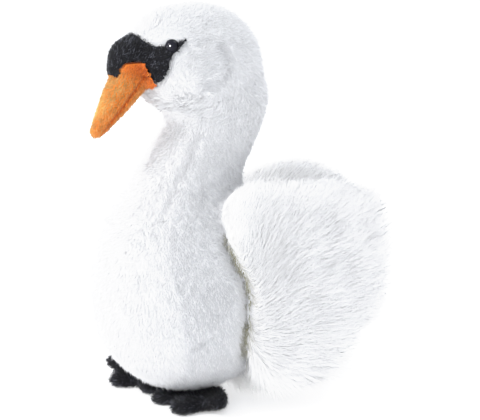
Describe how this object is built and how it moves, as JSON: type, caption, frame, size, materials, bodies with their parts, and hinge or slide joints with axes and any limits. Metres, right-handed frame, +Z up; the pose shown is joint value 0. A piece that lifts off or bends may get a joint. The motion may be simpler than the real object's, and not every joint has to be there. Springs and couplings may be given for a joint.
{
  "type": "plush toy mute swan",
  "caption": "Soft stuffed toy swan sitting with its neck up, short pile in front, long fluffy wings and back, black mask and feet, orange bill and glossy eyes.",
  "frame": {"origin": "middle of the bounding box's underside, under the belly on the surface that the toy sits on", "axes": "+Z up, the swan looks along -Y, its left side is +X"},
  "size_m": [0.1438, 0.2204, 0.2551],
  "materials": {
    "short_white_pile": "short dense white pile",
    "long_white_pile": "long soft white pile in loose locks",
    "black_pile": "short black pile",
    "orange_pile": "short brushed orange pile",
    "eye_gloss": "polished black"
  },
  "bodies": {
    "root": {"head": "short_white_pile", "neck": "short_white_pile", "breast": "short_white_pile", "back": "long_white_pile", "tail": "long_white_pile", "wing_left": "long_white_pile", "wing_right": "long_white_pile", "mask": "black_pile", "foot_left": "black_pile", "foot_right": "black_pile", "bill_upper": "orange_pile", "bill_lower": "orange_pile", "eye_left": "eye_gloss", "eye_right": "eye_gloss"}
  },
  "joints": []
}
